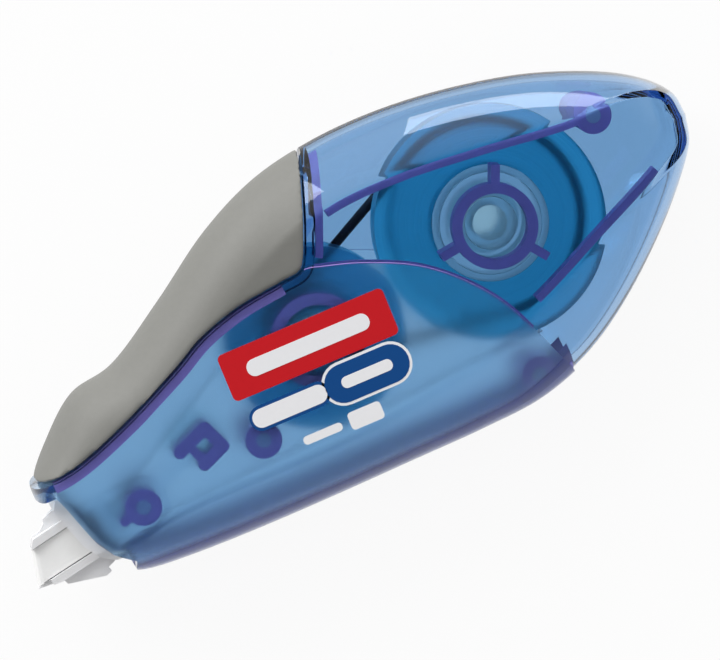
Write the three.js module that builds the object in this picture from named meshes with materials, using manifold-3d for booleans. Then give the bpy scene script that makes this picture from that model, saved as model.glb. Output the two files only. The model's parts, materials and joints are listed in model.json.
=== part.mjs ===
// A belt-driven correction tape: two translucent half casings, a soft thumb grip over their backs, a white
// transfer tip, and inside them a supply spool, a take-up spool, an elastic belt and the tape's own path.
// Millimetres. It lies on its right casing: +Z points out of the left casing, +X from the tip to the tail
// and +Y towards the grip. Inside this file x runs from the nose, y from the sole, z from the parting plane.
import * as THREE from "three";
import { mergeVertices } from "three/addons/utils/BufferGeometryUtils.js";
import Module from "manifold-3d";

const wasm = await Module();
wasm.setup();

// Tape
const tapeWidth = 4.2;
const tapeThick = 0.15;
const packRadius = 14.6;
const coreRadius = 7.4;

// Spools, pulleys and belt
const supplyPost = 3.3;
const takeUpPost = 2.5;
const runningGap = 0.08;
const hubWall = 1.0;
const coreWall = 0.9;
const carrierCore = 6.0;
const carrierThick = 0.3;
const flangeRadius = 11.4;
const flangeThick = 0.6;
const sideGap = 0.2;
const spoolGap = 0.15;
const takeUpTurn = 3.3141;
const beltThick = 1.2;
const pulleyStep = 2.35;
const takeUpPulley = 4.5;
const pulleyWidth = 2;
const rimRise = 0.4;
const beltGap = 0.12;

// Casings
const noseRoom = 27.94;
const tailRoom = 13.3;
const soleRoom = 9.3;
const crownRoom = 3.7;
const cheekRoom = 1.5;
const wall = 1.2;
const frostRise = 0.5;
const seamGap = 0.2;
const fitGap = 0.3;
const nosePinch = 1.2;
const postWall = 1.1;
const bossRadius = 2.3;
const bossBore = 0.96;
const pinGap = 0.12;
const pinLength = 3;
const collarRadius = 5.4;
const collarWall = 1.3;
const ringRise = 2.3;
const ribThick = 1.1;
const ribReach = 7.7;
const ribGap = 1.1;
const takeUpCollar = 5.9;
const takeUpCollarWall = 1.45;
const forkWidth = 4.8;
const forkRib = 1.6;
const forkLength = 5.9;
const forkDistance = 10.7;
const foldRibThick = 1;
const foldRibRise = 2.2;
const finThick = 1.1;
const finLength = 3.5;

// Grip
const gripThick = 2;

// Transfer tip
const tipReach = 9.8;
const tipSpan = 10.4;
const tipFootRise = 1.5;
const bladeThick = 1.6;
const edgeThick = 0.6;
const railRise = 1.5;
const railWidth = 1;
const railSetback = 0.8;
const armThick = 1;
const armGap = 0.6;
const eyeWall = 1.1;
const collarDepth = 2.2;
const collarProud = 1.6;

// Cutters run past what they cut by this much, and vertices closer than the weld are one.
const overrun = 12;
const weld = 0.0001;

const spoolReach = packRadius + flangeRadius + spoolGap;
const spoolsAlong = -spoolReach * Math.cos(takeUpTurn);
const hullLength = noseRoom + flangeRadius + spoolsAlong + packRadius + tailRoom;
const hullHeight = soleRoom + 2 * packRadius + crownRoom;
const supplyPulley = packRadius - pulleyStep;
const tapeHalf = tapeWidth / 2;
const flangeFace = tapeHalf + sideGap;
const flangeBack = flangeFace + flangeThick;
const pulleyFace = flangeBack + sideGap;
const pulleyBack = pulleyFace + pulleyWidth;
const beltLevel = -(pulleyFace + pulleyBack) / 2;
const hubFoot = pulleyBack + cheekRoom / 4;
const innerCheek = pulleyBack + cheekRoom;
const cheekHalf = innerCheek + wall;

// Outlines are shares of the hull's length and height. Each pair of lists runs in step: the ridge is the
// widest outline, on the parting plane, and the crease is where the flat cheek starts. Upper lists run from the
// nose to the tail, lower lists from the chin to the tail.
const upperRidgeShares = [
  [0, 0.325], [0.002, 0.378], [0.041, 0.482], [0.095, 0.578], [0.156, 0.607], [0.247, 0.727], [0.342, 0.867],
  [0.428, 0.953], [0.514, 0.991], [0.609, 1], [0.722, 0.976], [0.84, 0.915], [0.949, 0.806], [0.994, 0.713],
  [1, 0.64],
];
const upperCreaseShares = [
  [0.01, 0.325], [0.017, 0.36], [0.065, 0.4], [0.119, 0.44], [0.173, 0.476], [0.259, 0.572], [0.345, 0.684],
  [0.426, 0.772], [0.506, 0.824], [0.603, 0.833], [0.722, 0.812], [0.84, 0.783], [0.937, 0.78], [0.978, 0.735],
  [0.986, 0.652],
];
const lowerRidgeShares = [
  [0.08, 0.036], [0.093, 0.023], [0.114, 0.014], [0.152, 0.007], [0.205, 0.002], [0.283, 0], [0.377, 0.002],
  [0.485, 0.007], [0.589, 0.012], [0.678, 0.028], [0.759, 0.088], [0.841, 0.204], [0.939, 0.405], [0.99, 0.557],
  [1, 0.64],
];
const lowerCreaseShares = [
  [0.066, 0.1], [0.083, 0.112], [0.109, 0.128], [0.146, 0.145], [0.2, 0.154], [0.281, 0.156], [0.367, 0.156],
  [0.453, 0.164], [0.539, 0.187], [0.635, 0.225], [0.732, 0.306], [0.829, 0.405], [0.926, 0.505], [0.977, 0.571],
  [0.986, 0.652],
];
// The flank between ridge and crease is an arc. Where the casing is round it has turned this far, in radians,
// when it meets the cheek, and in the window it stops sooner, which leaves a fold. These shares of the upper and
// the lower outline are where one becomes the other.
const roundTurn = 1.43;
const foldTurn = 0.8;
const upperFoldShares = [0.44, 0.54];
const lowerFoldShares = [0.6, 0.74];
// The flanks pinch in towards the nose, in front of this share of the length.
const pinchShare = 0.26;

// The grip's lower edge, then its upright rear edge; and the raised frosted panel's rear edge.
const gripSeamShares = [
  [-0.031, 0.372], [0.005, 0.372], [0.035, 0.375], [0.069, 0.39], [0.149, 0.455], [0.192, 0.498], [0.235, 0.543],
  [0.281, 0.597], [0.341, 0.637], [0.405, 0.656],
];
const gripCornerShares = [[0.438, 0.668], [0.452, 0.712]];
const gripTopShare = [0.515, 1.06];
const frostEdgeShares = [
  [0.451, 0.671], [0.519, 0.623], [0.597, 0.533], [0.668, 0.367], [0.714, 0.149], [0.731, 0.057], [0.738, -0.06],
];
// The front edge of the casings, from the chin up to the lip under the grip's nose.
const frontEdgeShares = [
  [0.088, -0.05], [0.083, 0.036], [0.087, 0.064], [0.061, 0.112], [0.047, 0.158], [0.038, 0.215], [0.027, 0.29],
  [0.02, 0.33],
];

// The pins' bosses: the foremost as shares of the hull, the others round a spool, clear of it by a gap
const noseBossShares = [0.123, 0.204];
const takeUpBoss = { gap: 0.42, turn: 3.8208 };
const soleBoss = { gap: 2.53, turn: 4.6194 };
const tailBoss = { gap: 1.44, turn: 0.4513 };
const forkTurn = 0.396;
const finTurn = 3.42;
const ribTurn = 1.18;
// Where the ribs under the window's fold start and stop, along the hull
const topRibShares = [0.5, 0.875];
const backRibShares = [0.71, 0.928];

// The tip's outline, as shares of its reach in front of the casing and of its span, from the front edge's
// foot.
const tipShares = [
  [0.62, 1.03], [0.353, 0.928], [0.345, 0.88], [0.263, 0.814], [0.16, 0.792], [0.086, 0.683], [-0.023, 0.166],
  [0.307, 0.152], [0.344, 0.085], [0.836, 0], [0.916, 0.03], [0.893, 0.085], [1, 0.13], [1.13, 0.33], [0.8, 0.98],
];
const bladeEndShares = [[0.086, 0.683], [-0.023, 0.166]];
const tipRootShares = [[0.64, 1], [0.98, 0.13]];

const stepsPerSpan = 2;
const flankSteps = 5;
const turnSteps = 40;
const bossSteps = 16;
const pinSteps = 12;
const roundSteps = 8;
const beltSteps = 18;
const beltSides = 8;
const twistSteps = 12;
const bendSteps = 6;
// The tape has finished its twist at this share of its curve to the guide, and the curve's last bend is this
// long.
const twistShare = 0.5;
const lastBendShare = 0.15;

const point = ([along, up]) => new THREE.Vector2(along * hullLength, up * hullHeight);
const away = (centre, reach, turn) => {
  return new THREE.Vector2(Math.cos(turn), Math.sin(turn)).multiplyScalar(reach).add(centre);
};
// The spools stand rim to rim: the full pack just clears the take-up spool's flange
const supplyAxis = new THREE.Vector2(hullLength - tailRoom - packRadius, soleRoom + packRadius);
const takeUpAxis = away(supplyAxis, spoolReach, takeUpTurn);
const bosses = [
  point(noseBossShares),
  away(takeUpAxis, flangeRadius + takeUpBoss.gap + bossRadius, takeUpBoss.turn),
  away(supplyAxis, packRadius + soleBoss.gap + bossRadius, soleBoss.turn),
  away(supplyAxis, packRadius + tailBoss.gap + bossRadius, tailBoss.turn),
];

// Solids from three.js geometry, and back

function solidOf(geometry) {
  const source = geometry.index ? geometry.toNonIndexed() : geometry;
  const bare = new THREE.BufferGeometry().setAttribute("position", source.getAttribute("position"));
  const merged = mergeVertices(bare, weld);
  return new wasm.Manifold(
    new wasm.Mesh({
      numProp: 3,
      vertProperties: merged.attributes.position.array,
      triVerts: new Uint32Array(merged.index.array),
    }),
  );
}

function geometryOf(solid) {
  const mesh = solid.getMesh();
  const geometry = new THREE.BufferGeometry()
    .setAttribute("position", new THREE.BufferAttribute(mesh.vertProperties, 3))
    .setIndex(new THREE.BufferAttribute(mesh.triVerts, 1));
  geometry.computeVertexNormals();
  return geometry;
}

const joined = (solids) => solids.reduce((all, next) => all.add(next));

// A flat outline pushed from one level to another
function prism(outline, from, to) {
  const shape = new THREE.Shape(outline);
  const geometry = new THREE.ExtrudeGeometry(shape, { depth: to - from, bevelEnabled: false });
  return solidOf(geometry.translate(0, 0, from));
}

// A round bar along Z
function bar(radius, from, to, centre = new THREE.Vector2(), steps = bossSteps) {
  const geometry = new THREE.CylinderGeometry(radius, radius, to - from, steps);
  geometry.rotateX(Math.PI / 2);
  return solidOf(geometry.translate(centre.x, centre.y, (from + to) / 2));
}

// A closed profile of [radius, level] points, anticlockwise, turned about Z
function turned(profile) {
  const points = [...profile, profile[0]].map(([radius, level]) => new THREE.Vector2(radius, level));
  const geometry = new THREE.LatheGeometry(points, turnSteps);
  return solidOf(geometry.rotateX(Math.PI / 2));
}

const ringProfile = (inner, outer, low, high) => [[inner, low], [outer, low], [outer, high], [inner, high]];

// Rings of points joined into a skin. An open skin is closed at both ends by the faces that `lid` lists. Each
// quad is split along one diagonal, and along the other on the sides that `mirrored` names.
function skinned(rings, lid, mirrored = []) {
  const count = rings[0].length;
  const faces = [];
  const last = lid ? rings.length - 1 : rings.length;
  for (let r = 0; r < last; r++) {
    const here = r * count;
    const there = ((r + 1) % rings.length) * count;
    for (let i = 0; i < count; i++) {
      const j = (i + 1) % count;
      const [a, b, c, d] = [here + i, here + j, there + j, there + i];
      faces.push(...(mirrored.includes(i) ? [[a, b, d], [b, c, d]] : [[a, b, c], [a, c, d]]));
    }
  }
  if (lid) {
    const top = last * count;
    lid(count).forEach(([a, b, c]) => faces.push([a, c, b], [top + a, top + b, top + c]));
  }
  const positions = rings.flat().flatMap((p) => [p.x, p.y, p.z]);
  const geometry = new THREE.BufferGeometry();
  geometry.setAttribute("position", new THREE.Float32BufferAttribute(positions, 3));
  geometry.setIndex(faces.flat());
  return solidOf(geometry);
}

// Lid faces: a fan for a small convex ring, a ladder for a long ring that runs out and back
const fan = (count) => Array.from({ length: count - 2 }, (_, i) => [0, i + 1, i + 2]);

function ladder(count) {
  const faces = [];
  for (let i = 0, j = count - 1; j - i > 1; i++, j--) {
    faces.push([i, i + 1, j]);
    if (j - i > 2) faces.push([i + 1, j - 1, j]);
  }
  return faces;
}

// The hull: matched ridge and crease outlines, with the rounded flank lofted between them

// A smooth line through points given as shares
function sampled(shares) {
  const controls = shares.map(point).map((p) => new THREE.Vector3(p.x, p.y, 0));
  const curve = new THREE.CatmullRomCurve3(controls, false, "centripetal");
  return curve.getPoints(stepsPerSpan * (controls.length - 1)).map((p) => new THREE.Vector2(p.x, p.y));
}

// Lower outline from chin to tail, then upper outline from tail to nose: anticlockwise seen from +Z
const aroundOutline = (lower, upper) => [...sampled(lower), ...sampled(upper).reverse().slice(1)];
const ridge = aroundOutline(lowerRidgeShares, upperRidgeShares);
const crease = aroundOutline(lowerCreaseShares, upperCreaseShares);

// How far the flank's arc turns at point i of the outline
function flankTurn(i) {
  const tail = (ridge.length - 1) / 2;
  const share = (i <= tail ? i : 2 * tail - i) / tail;
  const [from, to] = i <= tail ? lowerFoldShares : upperFoldShares;
  return THREE.MathUtils.lerp(roundTurn, foldTurn, THREE.MathUtils.smoothstep(share, from, to));
}

// The direction to the left of a line at its point i. An open line's ends follow their own stretch.
function leftOf(line, i, closed = false) {
  const end = line.length - 1;
  const before = line[i === 0 ? (closed ? end : 0) : i - 1];
  const after = line[i === end ? (closed ? 0 : end) : i + 1];
  const along = after.clone().sub(before).normalize();
  return new THREE.Vector2(-along.y, along.x);
}

function pinchAt(x) {
  const start = pinchShare * hullLength;
  const share = Math.max(0, (start - x) / start);
  return 1 - (nosePinch / cheekHalf) * share * share;
}

// The hull's solid, moved in by `inset` all over. `reach` carries its front end out through the mouth.
function hull(inset, reach = 0) {
  const levels = Array.from({ length: 2 * flankSteps + 1 }, (_, k) => k / flankSteps - 1);
  const last = ridge.length - 1;
  const outer = ridge.map((p, i) => {
    const width = p.distanceTo(crease[i]);
    const half = cheekHalf + width;
    const low = p.clone().addScaledVector(leftOf(ridge, i), inset);
    const high = crease[i].clone().addScaledVector(leftOf(crease, i), (inset * cheekHalf) / half);
    const forward = i === 0 || i === last ? reach : 0;
    low.x -= forward;
    high.x -= forward;
    return [low, high, flankTurn(i)];
  });
  const rings = levels.map((level) =>
    outer.map(([low, high, turn]) => {
      const at = low.clone().lerp(high, (1 - Math.cos(level * turn)) / (1 - Math.cos(turn)));
      const up = Math.sin(level * turn) / Math.sin(turn);
      return new THREE.Vector3(at.x, at.y, up * (cheekHalf * pinchAt(at.x) - inset));
    }),
  );
  return skinned(rings, ladder);
}

// Regions of the hull's side, as prisms right through it

function offsetLine(line, distance) {
  return line.map((p, i) => p.clone().addScaledVector(leftOf(line, i), -distance));
}

const through = cheekHalf + overrun;
const gripLine = [...sampled([...gripSeamShares, ...gripCornerShares]), point(gripTopShare)];

// What lies above the grip's edge, grown by `more`
function gripRegion(more) {
  const line = offsetLine(gripLine, more);
  const top = new THREE.Vector2(line[0].x, hullHeight + overrun);
  const right = new THREE.Vector2(line[line.length - 1].x, hullHeight + overrun);
  return prism([...line, right, top], -through, through);
}

function frostRegion() {
  const edge = sampled(frostEdgeShares).reverse();
  const seam = sampled(gripSeamShares).reverse();
  const foot = new THREE.Vector2(-overrun, -overrun);
  const heel = new THREE.Vector2(edge[0].x, -overrun);
  return prism([foot, heel, ...edge, ...seam], -through, through);
}

function frontCutter() {
  const edge = frontEdgeShares.map(point);
  const lip = new THREE.Vector2(-overrun, edge[edge.length - 1].y);
  const foot = new THREE.Vector2(-overrun, -overrun);
  const sole = new THREE.Vector2(edge[0].x, -overrun);
  return prism([foot, sole, ...edge, lip], -through, through);
}

// Both casings' walls in one: the outer form with the grip's bed sunk in it, less the hollow
function casingWalls() {
  const bed = hull(gripThick + fitGap);
  const sunk = gripRegion(0).subtract(bed);
  const frosted = hull(-frostRise).intersect(frostRegion());
  const outside = hull(0).add(frosted).subtract(sunk);
  const underBed = gripRegion(wall).subtract(hull(gripThick + fitGap + wall));
  const hollow = hull(wall, overrun).subtract(underBed);
  return outside.subtract(hollow).subtract(frontCutter());
}

const leftHalf = () => box(seamGap / 2, through);
const rightHalf = () => box(-through, -seamGap / 2);

function box(from, to) {
  const far = hullLength + overrun;
  const high = hullHeight + overrun;
  const corners = [[-overrun, -overrun], [far, -overrun], [far, high], [-overrun, high]];
  return prism(corners.map(([x, y]) => new THREE.Vector2(x, y)), from, to);
}

// A flat outline of [along, across] points, turned and moved to a place
function placed(points, centre, turn) {
  return points.map(([x, y]) => new THREE.Vector2(x, y).rotateAround(new THREE.Vector2(), turn).add(centre));
}

const slab = (x0, x1, half) => [[x0, -half], [x1, -half], [x1, half], [x0, half]];

// Moulded features of the casings. Each grows out of a cheek and is trimmed inside its wall.

const forkBack = forkDistance + forkRib / 2 + forkRib;
const forkStop = forkBack - 2 * forkRib - ribThick;

// Two legs of unlike length round a crossbar, with a square gap behind it
function fork(from, to) {
  const back = forkBack;
  const inner = forkWidth / 2 - forkRib;
  const tips = [[back - forkLength + forkRib / 2, 1], [back - forkLength + ribThick + forkRib / 2, -1]];
  const half = forkWidth / 2;
  const crossbars = [slab(back - forkRib, back, half), slab(forkStop, forkStop + ribThick, half)];
  const pieces = crossbars.map((outline) => prism(placed(outline, bosses[0], forkTurn), from, to));
  for (const [tip, side] of tips) {
    const leg = slab(tip, back, forkRib / 2).map(([x, y]) => [x, y + side * (inner + forkRib / 2)]);
    const [round] = placed([[tip, side * (inner + forkRib / 2)]], bosses[0], forkTurn);
    pieces.push(prism(placed(leg, bosses[0], forkTurn), from, to));
    pieces.push(bar(forkRib / 2, from, to, round, roundSteps));
  }
  return joined(pieces);
}

// A small fin beside the foremost boss, clear of the tape
function fin(from, to) {
  const tip = finLength - finThick / 2;
  const blade = prism(placed(slab(0, tip, finThick / 2), bosses[0], finTurn), from, to);
  const [round] = placed([[tip, 0]], bosses[0], finTurn);
  return blade.add(bar(finThick / 2, from, to, round, roundSteps));
}

// A ring on the left cheek, round a spool's axis
function cheekRing(radius, thick, centre) {
  const ring = turned(ringProfile(radius - thick, radius, innerCheek - ringRise, innerCheek + wall / 2));
  return ring.translate([centre.x, centre.y, 0]);
}

// A rib on the left cheek, under a stretch of the window's fold
function foldRib(line, [from, to]) {
  const stretch = line.filter(({ x }) => x >= from * hullLength && x <= to * hullLength);
  const half = foldRibThick / 2;
  const outline = [...offsetLine(stretch, half), ...offsetLine(stretch, -half).reverse()];
  return prism(outline, innerCheek - foldRibRise, innerCheek + wall / 2);
}

function leftFeatures() {
  const start = seamGap / 2;
  const sockets = bosses.map((p) => bar(bossRadius, start, through, p));
  const ribs = [0, 1, 2].map((i) => {
    const turn = ribTurn + (i * 2 * Math.PI) / 3;
    const rib = slab(collarRadius - collarWall / 2, ribReach, ribThick / 2);
    return prism(placed(rib, supplyAxis, turn), tapeHalf + ribGap, through);
  });
  const grown = [
    ...sockets,
    cheekRing(collarRadius, collarWall, supplyAxis),
    cheekRing(takeUpCollar, takeUpCollarWall, takeUpAxis),
    ...ribs,
    foldRib(sampled(upperCreaseShares), topRibShares),
    foldRib(sampled(lowerCreaseShares), backRibShares),
    fork(tapeHalf + fitGap, through),
    fin(tapeHalf + fitGap, through),
  ];
  return joined(grown).intersect(hull(wall / 2));
}

// Blind holes for the right casing's pins
const pinHoles = () => joined(bosses.map((p) => bar(bossBore, 0, pinLength + fitGap, p, pinSteps)));

// A hollow post, closed at its inner end and open through the right cheek, with a seat ring for its spool
const postTop = flangeBack - sideGap;

function post(radius, centre) {
  const seat = bar(radius + ribThick, -through, -hubFoot - sideGap, centre, turnSteps);
  return bar(radius, -through, postTop, centre, turnSteps).add(seat);
}

function postCore(radius, centre) {
  return bar(radius - postWall, -through, postTop - postWall, centre, turnSteps);
}

function rightFeatures() {
  const stop = -seamGap / 2;
  const seats = bosses.map((p) => bar(bossRadius, -through, stop, p));
  const pins = bosses.map((p) => bar(bossBore - pinGap, stop - pinLength, pinLength, p, pinSteps));
  const grown = [
    ...seats,
    post(supplyPost, supplyAxis),
    post(takeUpPost, takeUpAxis),
    fork(-through, -tapeHalf - fitGap),
    fin(-through, -tapeHalf - fitGap),
  ];
  return joined([...grown, ...pins]).intersect(hull(wall / 2));
}

const walls = casingWalls();

function leftCasing() {
  return walls.intersect(leftHalf()).add(leftFeatures()).subtract(pinHoles());
}

function rightCasing() {
  const cores = postCore(supplyPost, supplyAxis).add(postCore(takeUpPost, takeUpAxis));
  return walls.intersect(rightHalf()).add(rightFeatures()).subtract(cores);
}

// The grip is a saddle of one thickness in the casings' bed
function softGrip() {
  return gripRegion(-fitGap).intersect(hull(0)).subtract(hull(gripThick));
}

// Spools, each turned about its own axis

function grooved(pitch, foot) {
  const rim = pitch + rimRise;
  const bottom = pitch - beltThick / 2 - beltGap;
  const mouth = beltThick / 2 + 2 * beltGap;
  const middle = beltThick / 2 + beltGap;
  const floor = beltThick / 4 + beltGap;
  return [
    [foot, -pulleyBack],
    [rim, -pulleyBack],
    [rim, beltLevel - mouth],
    [pitch, beltLevel - middle],
    [bottom, beltLevel - floor],
    [bottom, beltLevel + floor],
    [pitch, beltLevel + middle],
    [rim, beltLevel + mouth],
    [rim, -pulleyFace],
  ];
}

function supplySpool() {
  const bore = supplyPost + runningGap;
  const hub = bore + hubWall;
  const seat = coreRadius - coreWall - sideGap / 2;
  const web = (coreRadius + supplyPulley) / 2;
  return turned([
    [bore, -hubFoot],
    [hub, -hubFoot],
    ...grooved(supplyPulley, hub),
    [web, -pulleyFace],
    [web, -flangeFace],
    [seat, -flangeFace],
    [seat, flangeFace],
    [seat - hubWall, flangeFace],
    [seat - hubWall, -flangeFace + flangeThick],
    [hub, -flangeFace + flangeThick],
    [hub, flangeFace],
    [bore, flangeFace],
  ]);
}

function supplyCore() {
  return turned(ringProfile(coreRadius - coreWall, coreRadius - sideGap / 4, -tapeHalf, tapeHalf));
}

const tapePack = () => turned(ringProfile(coreRadius, packRadius, -tapeHalf, tapeHalf));

function takeUpSpool() {
  const bore = takeUpPost + runningGap;
  const hub = bore + hubWall;
  return turned([
    [bore, -hubFoot],
    [hub, -hubFoot],
    ...grooved(takeUpPulley, hub),
    [hub, -pulleyFace],
    [hub, -flangeBack],
    [flangeRadius, -flangeBack],
    [flangeRadius, -flangeFace],
    [carrierCore, -flangeFace],
    [carrierCore, flangeFace - sideGap],
    [carrierCore - hubWall, flangeFace - sideGap],
    [carrierCore - hubWall, -flangeFace + flangeThick],
    [hub, -flangeFace + flangeThick],
    [hub, flangeBack],
    [bore, flangeBack],
  ]);
}

function takeUpFlange() {
  const snap = takeUpPost + runningGap + hubWall + sideGap / 2;
  return turned(ringProfile(snap, flangeRadius, flangeFace, flangeBack));
}

function usedCarrier() {
  const inner = carrierCore + sideGap / 4;
  return turned(ringProfile(inner, inner + carrierThick, -tapeHalf, tapeHalf));
}

// Where a straight line touches two circles, both on its left hand seen from +Z
function tangent(from, fromRadius, to, toRadius) {
  const between = to.clone().sub(from);
  const lean = Math.asin((fromRadius - toRadius) / between.length());
  const turn = between.angle() - Math.PI / 2 + lean;
  const outwards = new THREE.Vector2(Math.cos(turn), Math.sin(turn));
  return [
    from.clone().addScaledVector(outwards, fromRadius),
    to.clone().addScaledVector(outwards, toRadius),
  ];
}

// The belt's round section carried round both pulleys
function driveBelt() {
  const [lowFrom, lowTo] = tangent(takeUpAxis, takeUpPulley, supplyAxis, supplyPulley);
  const [highFrom, highTo] = tangent(supplyAxis, supplyPulley, takeUpAxis, takeUpPulley);
  const arc = (centre, radius, from, to) => {
    const start = from.clone().sub(centre).angle();
    let sweep = to.clone().sub(centre).angle() - start;
    if (sweep < 0) sweep += 2 * Math.PI;
    return Array.from({ length: beltSteps + 1 }, (_, i) => {
      const turn = start + (sweep * i) / beltSteps;
      return new THREE.Vector2(Math.cos(turn), Math.sin(turn)).multiplyScalar(radius).add(centre);
    });
  };
  const loop = [
    ...arc(supplyAxis, supplyPulley, lowTo, highFrom),
    ...arc(takeUpAxis, takeUpPulley, highTo, lowFrom),
  ];
  const rings = loop.map((p, i) => {
    const side = leftOf(loop, i, true);
    return Array.from({ length: beltSides }, (_, k) => {
      const turn = (k * 2 * Math.PI) / beltSides;
      const at = p.clone().addScaledVector(side, (Math.cos(turn) * beltThick) / 2);
      return new THREE.Vector3(at.x, at.y, beltLevel + (Math.sin(turn) * beltThick) / 2);
    });
  });
  return skinned(rings);
}

// The transfer tip

const tipFoot = new THREE.Vector2(point(frontEdgeShares[3]).x - tipReach, tipFootRise);
const tipPoint = ([along, up]) => new THREE.Vector2(along * tipReach, up * tipSpan).add(tipFoot);
const [endHigh, endLow] = bladeEndShares.map(tipPoint);
const endMiddle = endHigh.clone().lerp(endLow, 0.5);
const [rootHigh, rootLow] = tipRootShares.map(tipPoint);
const rootMiddle = rootHigh.clone().lerp(rootLow, 0.5);
const tipAxis = rootMiddle.clone().sub(endMiddle);
const tipTurn = tipAxis.angle();
const armFace = tapeHalf + armGap;
const bladeGrow = (bladeThick - edgeThick) / 2 / tipAxis.length();
// The end edge leans from square to the tip's axis, and the tape's loop lies inside it
const endEdge = endHigh.clone().sub(endLow).rotateAround(new THREE.Vector2(), -tipTurn);
const endLean = endEdge.x / endEdge.y;
const loopRadius = edgeThick / 2 + fitGap + tapeThick;
const loopBack = loopRadius + tapeThick / 2;

// A wedge, thin at the end edge and thick at the root, as wide as the tip
function bladeWedge() {
  const long = tipAxis.length() + overrun;
  const edge = edgeThick / 2;
  const root = edge + bladeGrow * long;
  const outline = [[-overrun, -edge], [0, -edge], [long, -root], [long, root], [0, edge], [-overrun, edge]];
  const shape = new THREE.Shape(outline.map(([x, y]) => new THREE.Vector2(x, y)));
  const geometry = new THREE.ExtrudeGeometry(shape, { depth: 2 * overrun, bevelEnabled: false });
  geometry.translate(0, 0, -overrun).rotateX(Math.PI / 2).rotateZ(tipTurn);
  return solidOf(geometry.translate(endMiddle.x, endMiddle.y, 0));
}

// Two rails keep the tape on the blade's middle
function rails(outline) {
  const channel = tapeWidth / 2 + fitGap / 2;
  const long = tipAxis.length() + collarDepth;
  const start = railSetback;
  const strips = [1, -1].map((side) => {
    const near = side * channel;
    const far = side * (channel + railWidth);
    const strip = [[start, near], [long, near], [long, far], [start, far]];
    return side > 0 ? strip : strip.reverse();
  });
  const made = strips.map((strip) => prism(placed(strip, endMiddle, tipTurn), -railRise, railRise));
  return joined(made).intersect(outline);
}

// The collar fills the mouth, with a window for the blade and the tape on both its faces
function collar() {
  const edge = frontEdgeShares.slice(2).map(point);
  const front = edge.map((p) => p.clone().add(new THREE.Vector2(-collarProud, 0)));
  const back = edge.map((p) => p.clone().add(new THREE.Vector2(collarDepth - collarProud, 0))).reverse();
  front[front.length - 1].x += collarProud;
  const band = prism([...front, ...back].reverse(), -through, through);
  const window = placed(slab(0, tipReach + overrun, tapeHalf + fitGap), endMiddle, tipTurn);
  const fit = band.intersect(hull(wall + fitGap, overrun));
  return fit.subtract(prism(window, -railRise, railRise));
}

// Two arms reach back from the collar to the foremost boss, and their tongues into the forks
function arms() {
  const [boss] = bosses;
  const eye = bossRadius + pinGap;
  const tongue = slab(0, forkStop - fitGap, forkWidth / 2 - forkRib - pinGap);
  const collarHigh = point(frontEdgeShares.at(-2));
  const collarLow = point(frontEdgeShares[3]);
  const back = new THREE.Vector2(collarDepth - collarProud, 0);
  const ear = eye + eyeWall;
  const outline = [
    collarLow.clone().add(back).add(new THREE.Vector2(-collarDepth / 2, wall)),
    boss.clone().add(new THREE.Vector2(0, -ear)),
    boss.clone().add(new THREE.Vector2(0, ear)),
    collarHigh.clone().add(back).add(new THREE.Vector2(-collarDepth / 2, -wall)),
  ];
  const made = [-armFace - armThick, armFace].map((from) => {
    const to = from + armThick;
    const arm = prism(outline, from, to).add(bar(ear, from, to, boss));
    const whole = arm.add(prism(placed(tongue, boss, forkTurn), from, to));
    const clear = eye + pinGap;
    return whole.subtract(bar(clear, from - armThick, to + armThick, boss)).subtract(finRoom(from, to));
  });
  return joined(made).intersect(hull(wall + fitGap, overrun));
}

function finRoom(from, to) {
  const room = slab(0, finLength + fitGap, finThick / 2 + fitGap);
  return prism(placed(room, bosses[0], finTurn), from - armThick, to + armThick);
}

function transferTip() {
  const outline = prism(tipShares.map(tipPoint), -through, through);
  const half = tapeHalf + fitGap;
  const leant = [[-tipReach, -half], [loopBack - half * endLean, -half], [loopBack + half * endLean, half]];
  const fold = placed([...leant, [-tipReach, half]], endMiddle, tipTurn);
  const blade = bladeWedge().intersect(outline).subtract(prism(fold, -through, through));
  return joined([blade, rails(outline), collar(), arms()]);
}

// The strip's two faces split along the same diagonals, so that a twist keeps them one thickness apart
const backSide = 3;

// The tape's path. A station is a centre, its turn from upright and the direction across it.

const flat = (p, level = 0) => new THREE.Vector3(p.x, p.y, level);

function ribbon(stations) {
  const rings = stations.map(({ at, turn, across }) => {
    const inPlane = new THREE.Vector3(across.x, across.y, 0);
    const up = new THREE.Vector3(0, 0, 1);
    const width = up.clone().multiplyScalar(Math.cos(turn)).addScaledVector(inPlane, Math.sin(turn));
    const face = up.clone().multiplyScalar(-Math.sin(turn)).addScaledVector(inPlane, Math.cos(turn));
    const corners = [[-1, -1], [-1, 1], [1, 1], [1, -1]];
    return corners.map(([w, f]) =>
      at.clone().addScaledVector(width, (w * tapeWidth) / 2).addScaledVector(face, (f * tapeThick) / 2),
    );
  });
  return skinned(rings, fan, [backSide]);
}

const bladeFace = (along) => loopRadius + bladeGrow * Math.max(0, along);
const acrossTip = new THREE.Vector2(-Math.sin(tipTurn), Math.cos(tipTurn));
const onTip = (along) => endMiddle.clone().addScaledVector(tipAxis.clone().normalize(), along);
const collarBack = tipAxis.length() + collarDepth;

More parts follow.
